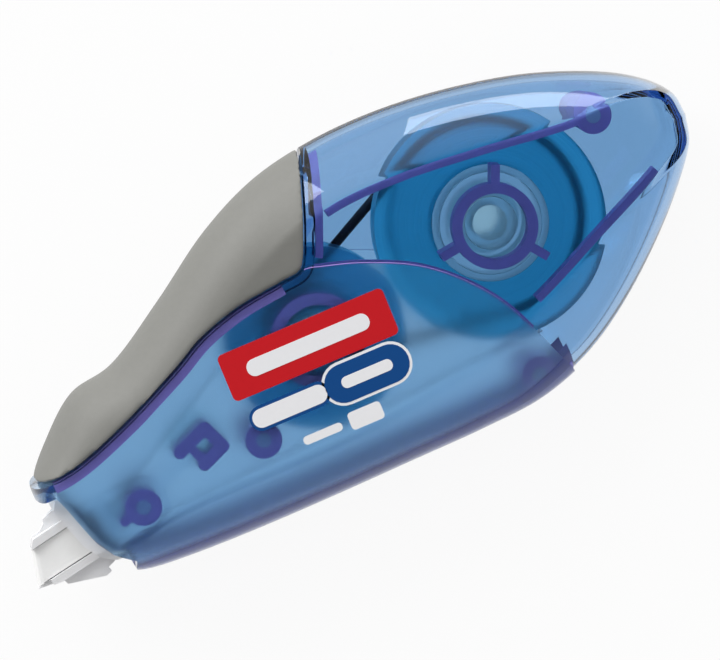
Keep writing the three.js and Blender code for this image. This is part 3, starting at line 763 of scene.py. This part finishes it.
def casing_walls():
    sunk = cut(grip_region(0), hull(grip_thick + fit_gap))
    frosted = common(hull(-frost_rise, 0, FROSTED), frost_region(RIB))
    outside = cut(joined(hull(0), frosted), sunk)
    hazy = common(inside(-hair, overrun, HAZY), frost_region(HAZY))
    return cut(outside, inside(0, overrun, CLEAR), hazy, front_cutter())


def half_space(low, high):
    far, top = hull_length + overrun, hull_height + overrun
    return prism([(-overrun, -overrun), (far, -overrun), (far, top), (-overrun, top)], low, high)


# Moulded features of the casings

def fork(low, high, finish):
    half, inner = fork_width / 2, fork_width / 2 - fork_rib
    tip, short_tip = fork_back - fork_length, fork_back - fork_length + rib_thick
    r = fork_rib / 2
    upper = [(tip, inner), (fork_back, inner), (fork_back, half), (tip, half)]
    lower = [(short_tip, -half), (fork_back, -half), (fork_back, -inner), (short_tip, -inner)]
    shapes = [
        rounded(slab(fork_back - fork_rib, fork_back, half), [0, r, r, 0]),
        slab(fork_stop, fork_stop + rib_thick, half - fork_rib / 2),
        rounded(upper, [r, 0, r, r]),
        rounded(lower, [r, r, 0, r]),
    ]
    return joined(*[prism(placed(shape, bosses[0], fork_turn), low, high, finish) for shape in shapes])


def fin(low, high, finish):
    shape = rounded(slab(0, fin_length, fin_thick / 2), [0, fin_thick / 2, fin_thick / 2, 0])
    return prism(placed(shape, bosses[0], fin_turn), low, high, finish)


def cheek_ring(radius, thick, centre):
    profile = ring_profile(radius - thick, radius, inner_cheek - ring_rise, inner_cheek + wall / 2)
    return lathe(profile, centre, RIB)


def crease_rib(line):
    """A rib that stands under a stretch of the window's fold."""
    half = fold_rib_thick / 2
    outline = offset_line(line, half) + offset_line(line, -half)[::-1]
    return prism(outline, inner_cheek - fold_rib_rise, inner_cheek + wall / 2, RIB)


def nearest(line, x):
    return min(range(len(line)), key=lambda i: abs(line[i].x - x))


def fold_ribs():
    upper = offset_line(upper_crease, fold_rib_thick)
    lower = offset_line(lower_crease, -fold_rib_thick)
    made = []
    for line, (start, stop) in ((upper, top_rib_shares), (lower, back_rib_shares)):
        first, last = (nearest(line, share * hull_length) for share in (start, stop))
        made.append(crease_rib(line[first:last + 1]))
    return made


def boss(centre, low, high):
    return bar(boss_radius, low, high, centre, RIB)


def left_features():
    ribs = []
    shape = slab(collar_radius - collar_wall / 2, rib_reach, rib_thick / 2)
    for i in range(rib_count):
        turn = rib_turn + i * 2 * math.pi / rib_count
        ribs.append(prism(placed(shape, supply_axis, turn), tape_half + rib_gap, through, RIB))
    grown = [
        *[boss(centre, seam_gap / 2, through) for centre in bosses],
        cheek_ring(collar_radius, collar_wall, supply_axis),
        cheek_ring(take_up_collar, take_up_collar_wall, take_up_axis),
        *ribs,
        *fold_ribs(),
        fork(tape_half + fit_gap, through, RIB),
        fin(tape_half + fit_gap, through, RIB),
    ]
    return common(joined(*grown), inside(hair, 0, RIB))


def strip_beside(line, near, far, rise):
    """A rib that follows a line of the casing's side, from near to far beside it."""
    outline = offset_line(line, far) + offset_line(line, near)[::-1]
    return prism(outline, inner_cheek - rise, through, RIB)


def sole_shade(more, side):
    """A dark indigo band let into the frosted wall along the sole, at the parting plane: painted shade where
    the lower flank turns down, with the deeper blue of the wall seen edge-on.
    """
    stop = point(frost_edge_shares[-2]).x + more
    foot = [(-overrun, -overrun), (stop, -overrun), (stop, sole_room), (-overrun, sole_room)]
    low, high = sorted((side * (seam_gap / 2 - more), side * (sole_shade_reach + more)))
    band = common(prism(foot, low, high, SOLE_SHADE), hull(sole_shade_cover - frost_rise - more, 0, SOLE_SHADE))
    return cut(band, hull(wall + sole_shade_thick + more, overrun, SOLE_SHADE), front_cutter(SOLE_SHADE))


def lining():
    """What shows dark along the edges: the rim's rib and one behind the grip's bed."""
    half = rim_rib_thick / 2
    rim = strip_beside(sampled(frost_edge_shares), -half, half, rim_rib_thick)
    bed_end = grip_line[-rear_points:]
    rear = strip_beside(bed_end, wall + 2 * hair, wall + fold_rib_thick, bed_depth)
    return common(joined(rim, rear), inside(hair, 0, RIB))


def seam_rib(more):
    """A rib let into the wall beside the grip's bed."""
    line = sampled(grip_seam_shares)
    line = line[nearest(line, 2 * wall - more):]
    far = seam_rib_near + seam_rib_thick
    strip = strip_beside(line, seam_rib_near - more, far + more, seam_rib_rise + more)
    return common(strip, hull(seam_rib_cover - more, 0, RIB))


def right_features():
    stop = -seam_gap / 2
    grown = []
    for centre in bosses:
        grown.append(boss(centre, -through, stop))
        grown.append(bar(boss_bore - pin_gap, stop - pin_length, pin_length, centre, RIB))
    for radius, centre in post_places:
        grown.append(bar(radius + rib_thick, -through, -hub_foot - side_gap, centre, POST, turn_steps))
    top = -tape_half - fit_gap
    grown += [fork(-through, top, POST), fin(-through, top, POST)]
    return cut(common(joined(*grown), inside(hair, 0, POST)), *post_bars(hair, POST))


def post_bars(more, finish):
    top = flange_back - side_gap + more
    return [bar(radius + more, -through, top, centre, finish, turn_steps) for radius, centre in post_places]


def posts():
    """The hollow posts that carry the spools, open towards the outside."""
    return cut(common(joined(*post_bars(0, POST)), inside(hair, 0, POST)), *post_bars(-post_wall, POST))


def pin_holes():
    return [bar(boss_bore, 0, through, centre, RIB) for centre in bosses]


def pin_caps():
    """The thin, paler ends of the pins' holes."""
    caps = [bar(boss_bore - hair, pin_length + fit_gap, through, centre, CAP) for centre in bosses]
    return common(joined(*caps), inside(hair, 0, CAP))


def left_casing():
    walls = common(casing_walls(), half_space(seam_gap / 2, through))
    walls = cut(walls, common(seam_rib(hair), half_space(0, through)), sole_shade(hair, 1))
    features = cut(left_features(), *pin_holes())
    return gathered(walls, features, pin_caps(), seam_rib(0), sole_shade(0, 1), lining())


def right_casing():
    walls = common(casing_walls(), half_space(-through, -seam_gap / 2))
    walls = cut(walls, *post_bars(-post_wall, CLEAR), sole_shade(hair, -1))
    return gathered(walls, right_features(), posts(), sole_shade(0, -1))


def soft_grip():
    made = cut(common(grip_region(-fit_gap), hull(0)), hull(grip_thick))
    remesh = made.modifiers.new("remesh", "REMESH")
    remesh.mode = "VOXEL"
    remesh.voxel_size = grip_voxel
    smooth = made.modifiers.new("smooth", "SMOOTH")
    smooth.factor = grip_smoothing
    smooth.iterations = grip_smoothings
    return settle(made)


# Spools, core, pack and belt

def grooved(pitch, foot):
    """The profile of a pulley from its foot outward, with the belt's groove in its rim."""
    rim = pitch + rim_rise
    bottom = pitch - belt_thick / 2 - belt_gap
    wide = belt_thick / 2 + 2 * belt_gap
    middle = belt_thick / 2 + belt_gap
    narrow = belt_thick / 4 + belt_gap
    return [
        (foot, -pulley_back), (rim, -pulley_back), (rim, belt_level - wide), (pitch, belt_level - middle),
        (bottom, belt_level - narrow), (bottom, belt_level + narrow), (pitch, belt_level + middle),
        (rim, belt_level + wide), (rim, -pulley_face),
    ]


def supply_spool():
    bore = supply_post + running_gap
    hub = bore + hub_wall
    seat = core_radius - core_wall - side_gap / 2
    web = (core_radius + supply_pulley) / 2
    inner = seat - hub_wall
    floor = -flange_face + flange_thick
    return lathe([
        (bore, -hub_foot), (hub, -hub_foot), *grooved(supply_pulley, hub), (web, -pulley_face),
        (web, -flange_face), (seat, -flange_face), (seat, flange_face), (inner, flange_face), (inner, floor),
        (hub, floor), (hub, flange_face), (bore, flange_face),
    ], supply_axis)


def supply_core():
    profile = ring_profile(core_radius - core_wall, core_radius - side_gap / 4, -tape_half, tape_half)
    return lathe(profile, supply_axis)


def tape_pack():
    return lathe(ring_profile(core_radius, pack_radius, -tape_half, tape_half), supply_axis)


def take_up_spool():
    bore = take_up_post + running_gap
    hub = bore + hub_wall
    inner = carrier_core - hub_wall
    floor = -flange_face + flange_thick
    top = flange_face - side_gap
    return lathe([
        (bore, -hub_foot), (hub, -hub_foot), *grooved(take_up_pulley, hub), (hub, -pulley_face),
        (hub, -flange_back), (flange_radius, -flange_back), (flange_radius, -flange_face),
        (carrier_core, -flange_face), (carrier_core, top), (inner, top), (inner, floor), (hub, floor),
        (hub, flange_back), (bore, flange_back),
    ], take_up_axis)


def take_up_flange():
    snap = take_up_post + running_gap + hub_wall + side_gap / 2
    return lathe(ring_profile(snap, flange_radius, flange_face, flange_back), take_up_axis)


def used_carrier():
    inner = carrier_core + side_gap / 4
    return lathe(ring_profile(inner, inner + carrier_thick, -tape_half, tape_half), take_up_axis)


def tangent(start, start_radius, end, end_radius):
    """Where a straight line touches two circles, both on its left hand."""
    along = end - start
    lean = math.asin((start_radius - end_radius) / along.length)
    turn = math.atan2(along.y, along.x) - math.pi / 2 + lean
    out = Vector((math.cos(turn), math.sin(turn)))
    return start + out * start_radius, end + out * end_radius


def belt_arc(centre, radius, first, last):
    start = math.atan2(*(first - centre).yx)
    sweep = (math.atan2(*(last - centre).yx) - start) % (2 * math.pi)
    turns = [start + sweep * i / belt_arc_steps for i in range(belt_arc_steps + 1)]
    return [centre + Vector((math.cos(turn), math.sin(turn))) * radius for turn in turns]


def drive_belt():
    low_start, low_end = tangent(take_up_axis, take_up_pulley, supply_axis, supply_pulley)
    high_start, high_end = tangent(supply_axis, supply_pulley, take_up_axis, take_up_pulley)
    loop = belt_arc(supply_axis, supply_pulley, low_end, high_start)
    loop += belt_arc(take_up_axis, take_up_pulley, high_end, low_start)
    rings = []
    for i, p in enumerate(loop):
        side = left_of(loop, i, True)
        ring = []
        for k in range(belt_sides):
            turn = 2 * math.pi * k / belt_sides
            at = p + side * (math.cos(turn) * belt_thick / 2)
            ring.append(Vector((at.x, at.y, belt_level + math.sin(turn) * belt_thick / 2)))
        rings.append(ring)
    return skin(rings, True)


# The transfer tip

mouth_shares = front_edge_shares[mouth_start:]
mouth = [point(share) for share in mouth_shares]
tip_foot = Vector((mouth_shares[1][0] * hull_length - tip_reach, tip_foot_rise))


def tip_point(share):
    return Vector((share[0] * tip_reach, share[1] * tip_span)) + tip_foot


end_middle = (tip_point(blade_end_shares[0]) + tip_point(blade_end_shares[1])) / 2
root_middle = (tip_point(tip_root_shares[0]) + tip_point(tip_root_shares[1])) / 2
tip_axis = root_middle - end_middle
tip_turn = math.atan2(tip_axis.y, tip_axis.x)
blade_grow = (blade_thick - edge_thick) / 2 / tip_axis.length
end_edge = turned_by(tip_point(blade_end_shares[0]) - tip_point(blade_end_shares[1]), -tip_turn)
end_lean = end_edge.x / end_edge.y
loop_radius = edge_thick / 2 + fit_gap + tape_thick
loop_back = loop_radius + tape_thick / 2


def tip_outline():
    return prism([tip_point(share) for share in tip_shares][::-1], -through, through)


def blade():
    """A wedge, thin at its end edge and thick at its root, as wide as the tip's outline."""
    long = tip_axis.length + overrun
    edge, root = edge_thick / 2, edge_thick / 2 + blade_grow * long
    profile = [(-overrun, -edge), (0, -edge), (long, -root), (long, root), (0, edge), (-overrun, edge)]
    made = prism(profile, -overrun, overrun)
    turn = Matrix.Rotation(tip_turn, 4, "Z") @ Matrix.Rotation(math.pi / 2, 4, "X")
    made.data.transform(Matrix.Translation(end_middle.to_3d()) @ turn)
    half = tape_half + fit_gap
    leant = [(loop_back - half * end_lean, -half), (loop_back + half * end_lean, half)]
    fold = placed([(-tip_reach, -half), *leant, (-tip_reach, half)], end_middle, tip_turn)
    return cut(common(made, tip_outline()), prism(fold, -through, through))


def rails():
    channel = tape_half + fit_gap / 2
    long = tip_axis.length + collar_depth
    made = []
    for near, far in ((channel, channel + rail_width), (-channel - rail_width, -channel)):
        strip = [(rail_setback, near), (long, near), (long, far), (rail_setback, far)]
        made.append(prism(placed(strip, end_middle, tip_turn), -rail_rise, rail_rise))
    return common(joined(*made), tip_outline())


def collar():
    front = [p - Vector((collar_proud, 0)) for p in mouth[:-1]] + [mouth[-1]]
    back = [p + Vector((collar_depth - collar_proud, 0)) for p in mouth][::-1]
    band = prism((front + back)[::-1], -through, through)
    window = placed(slab(0, tip_reach + overrun, tape_half + fit_gap), end_middle, tip_turn)
    return cut(common(band, hull(wall + fit_gap, overrun)), prism(window, -rail_rise, rail_rise))


def arms():
    first = bosses[0]
    eye = boss_radius + pin_gap
    ear = eye + eye_wall
    tongue = slab(0, fork_stop - fit_gap, fork_width / 2 - fork_rib - pin_gap)
    inset = collar_depth / 2 - collar_proud
    low = mouth[1] + Vector((inset, wall))
    high = mouth[-2] + Vector((inset, -wall))
    outline = [low, first - Vector((0, ear)), first + Vector((0, ear)), high]
    made = []
    for start in (-arm_face - arm_thick, arm_face):
        end = start + arm_thick
        arm = prism(outline, start, end)
        tongue_bar = prism(placed(tongue, first, fork_turn), start, end)
        whole = joined(arm, bar(ear, start, end, first), tongue_bar)
        room = slab(0, fin_length + fit_gap, fin_thick / 2 + fit_gap)
        fin_room = prism(placed(room, first, fin_turn), start - arm_thick, end + arm_thick)
        made.append(cut(whole, bar(eye + pin_gap, start - arm_thick, end + arm_thick, first), fin_room))
    return [common(arm, hull(wall + fit_gap, overrun)) for arm in made]


def transfer_tip():
    return joined(blade(), rails(), collar())


# Print on the left cheek: plain shapes with nothing written on them

def printed(name, material, shapes):
    """Flat shapes of ink on the frosted panel, with round corners."""
    made = []
    for middle, length, width, corner, layer in shapes:
        outline = rounded(slab(-length / 2, length / 2, width / 2), [corner] * 4)
        low = cheek_half + frost_rise + layer * ink_thick
        made.append(prism(placed(outline, Vector(middle), 0), low, low + ink_thick))
    return finished(gathered(*made), name, "casing", [], [material])


# Finishing a piece

def settle_finishes(mesh):
    """The frosted faces become a mask on the plastic, since one closed volume has to keep one material."""
    marks = [mesh.materials[face.material_index] for face in mesh.polygons]
    mask = mesh.attributes.new("frost", "FLOAT", "FACE")
    mesh.materials.clear()
    mesh.materials.append(casing_finish[CLEAR])
    for material in solid_finish:
        mesh.materials.append(material)
    for face, mark in zip(mesh.polygons, marks):
        mask.data[face.index].value = frost_shares.get(mark, 0)
        face.material_index = solid_finish.index(mark) + 1 if mark in solid_finish else 0


def finished(made, name, body, nodes, materials):
    """Names the piece, gives it its materials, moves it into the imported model's frame and lets it ride.

    Without a list of materials the piece keeps the casings' own.
    """
    made.name = made.data.name = name
    if materials:
        made.data.materials.clear()
        for material in materials:
            made.data.materials.append(material)
    else:
        settle_finishes(made.data)
    made.data.transform(Matrix.Scale(mm, 4) @ Matrix.Translation(origin))
    made.data.shade_smooth()
    made.data.set_sharp_from_angle(angle=sharp_turn)
    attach(made, body)
    if nodes:
        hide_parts(*nodes)
    return made


# The pieces

grip_rubber = moulded(
    "grip_rubber", (0.188, 0.188, 0.174), roughness=0.55, spread=0.05, size=0.9, depth=0.015,
)
tip_white = moulded("tip_white", (0.95, 0.95, 0.96), roughness=0.4, spread=0.03, clear=0.15)
tip_clear = moulded("tip_clear", (0.93, 0.96, 0.99), roughness=0.25, spread=0.02, clear=1, ior=thin_ior)
spool_pale = moulded("spool_pale", (0.82, 0.94, 0.99), roughness=0.3, clear=0.92)
flange_blue = moulded("flange_blue", (0.3, 0.75, 0.98), roughness=0.4, clear=0.8)
pack_blue = wound("pack_blue", (0.13, 0.72, 0.99), supply_axis, pitch=0.35, clear=0.85)
carrier_film = wound("carrier_film", (0.6, 0.65, 0.7), take_up_axis, pitch=0.2)
belt_rubber = moulded("belt_rubber", (0.006, 0.008, 0.014), roughness=0.5)
red_ink = moulded("red_ink", (0.58, 0.006, 0.012), roughness=0.35, spread=0.03, size=0.6, depth=0.004)
navy_ink = moulded("navy_ink", (0, 0.06, 0.24), roughness=0.35, spread=0.03, size=0.6, depth=0.004)
white_ink = moulded("white_ink", (0.85, 0.85, 0.87), roughness=0.4, spread=0.02, size=0.6, depth=0.004)
tape_white = moulded("tape_white", (0.93, 0.93, 0.92), roughness=0.5, spread=0.03)
tape_thin = moulded("tape_thin", (0.93, 0.95, 0.97), roughness=0.3, spread=0.03, clear=0.95, ior=thin_ior)
film = moulded("film", (0.9, 0.94, 0.98), roughness=0.2, spread=0.03, clear=0.98, ior=thin_ior)

finished(left_casing(), "left_shell", "casing", ["left_casing"], None)
finished(right_casing(), "right_shell", "casing", ["right_casing"], None)
finished(soft_grip(), "grip_saddle", "casing", ["soft_grip"], [grip_rubber])
finished(transfer_tip(), "tip_moulding", "casing", ["transfer_tip"], [tip_white])
finished(gathered(*arms()), "tip_arms", "casing", [], [tip_clear])
finished(supply_spool(), "supply_wheel", "supply", ["supply_spool"], [spool_pale])
finished(supply_core(), "supply_bobbin", "supply", ["supply_core"], [spool_pale])
finished(tape_pack(), "wound_tape", "supply", ["tape_pack"], [pack_blue])
finished(take_up_spool(), "take_up_wheel", "take_up", ["take_up_spool"], [flange_blue])
finished(take_up_flange(), "take_up_disc", "take_up", ["take_up_flange"], [flange_blue])
finished(used_carrier(), "wound_carrier", "take_up", ["used_carrier"], [carrier_film])
finished(drive_belt(), "belt", "casing", ["drive_belt"], [belt_rubber])
printed("print_red", red_ink, red_shapes)
printed("print_navy", navy_ink, navy_shapes)
printed("print_white", white_ink, white_shapes)
for node, material in (("feed_tape", tape_thin), ("tip_tape", tape_white), ("return_tape", film)):
    frame["nodes"][node].data.materials.clear()
    frame["nodes"][node].data.materials.append(material)
for mark in (frost_mark, haze_mark):
    bpy.data.materials.remove(mark)


# Floor, light and camera

def camera():
    back = lean_side.normalized() * math.sin(camera_lean) + Vector((0, 0, math.cos(camera_lean)))
    up = (picture_up - picture_up.dot(back) * back).normalized()
    right = up.cross(back)
    data = bpy.data.cameras.new("camera")
    data.sensor_width = sensor
    data.lens = pixels_per_mm * camera_distance / mm * sensor / picture_width
    data.clip_end = view_reach
    made = bpy.data.objects.new("camera", data)
    bpy.context.scene.collection.objects.link(made)
    turn = Matrix((right, up, back)).transposed().to_4x4()
    made.matrix_world = Matrix.Translation(target + back * camera_distance) @ turn
    bpy.context.scene.camera = made


def area_light(name, place, size, power):
    data = bpy.data.lights.new(name, "AREA")
    data.size = size
    data.energy = power
    made = bpy.data.objects.new(name, data)
    bpy.context.scene.collection.objects.link(made)
    made.location = place
    made.rotation_euler = (target - place).to_track_quat("-Z", "Y").to_euler()


def floor():
    half, level = floor_half, -floor_sink
    corners = [(-half, -half, level), (half, -half, level), (half, half, level), (-half, half, level)]
    mesh = bpy.data.meshes.new("floor")
    mesh.from_pydata(corners, [], [(0, 1, 2, 3)])
    made = bpy.data.objects.new("floor", mesh)
    bpy.context.scene.collection.objects.link(made)
    material, nodes, links, surface = shader("floor_white")
    surface.inputs["Base Color"].default_value = (*floor_color, 1)
    surface.inputs["Roughness"].default_value = floor_roughness
    glow = nodes.new("ShaderNodeEmission")
    path = nodes.new("ShaderNodeLightPath").outputs
    mirrored = math_node(nodes, links, "MAXIMUM", path["Is Glossy Ray"], path["Is Transmission Ray"])
    seen = math_node(nodes, links, "MAXIMUM", path["Is Camera Ray"], mirrored)
    mix = nodes.new("ShaderNodeMixShader")
    links.new(math_node(nodes, links, "MULTIPLY", seen, floor_glow), mix.inputs[0])
    links.new(surface.outputs[0], mix.inputs[1])
    links.new(glow.outputs[0], mix.inputs[2])
    links.new(mix.outputs[0], nodes["Material Output"].inputs["Surface"])
    mesh.materials.append(material)


def world():
    """A white studio with one dark flag overhead, where the flat cheek would mirror the sky."""
    made = bpy.data.worlds.new("world")
    bpy.context.scene.world = made
    made.use_nodes = True
    nodes, links = made.node_tree.nodes, made.node_tree.links
    place = nodes.new("ShaderNodeTexCoord")

    def towards(side):
        facing = nodes.new("ShaderNodeVectorMath")
        facing.operation = "DOT_PRODUCT"
        facing.inputs[1].default_value = side.normalized()
        links.new(place.outputs["Generated"], facing.inputs[0])
        return facing.outputs["Value"]

    ramp = nodes.new("ShaderNodeValToRGB")
    stops = ramp.color_ramp.elements
    stops.new(math.cos(flag_outer))
    looks = [(dim_outer, sky_color), (flag_outer, dim_color), (flag_inner, flag_color)]
    for stop, (turn, color) in zip(stops, looks):
        stop.position = math.cos(turn)
        stop.color = (*color, 1)
    links.new(towards(flag_side), ramp.inputs["Fac"])
    background = nodes["Background"]
    links.new(ramp.outputs["Color"], background.inputs["Color"])
    low, high = sky_strengths
    strength = between(nodes, links, towards(picture_up), (low + high) / 2, high)
    links.new(strength, background.inputs["Strength"])


camera()
floor()
world()
for lamp in lamps:
    area_light(*lamp)
bpy.context.scene.view_settings.view_transform = "Standard"
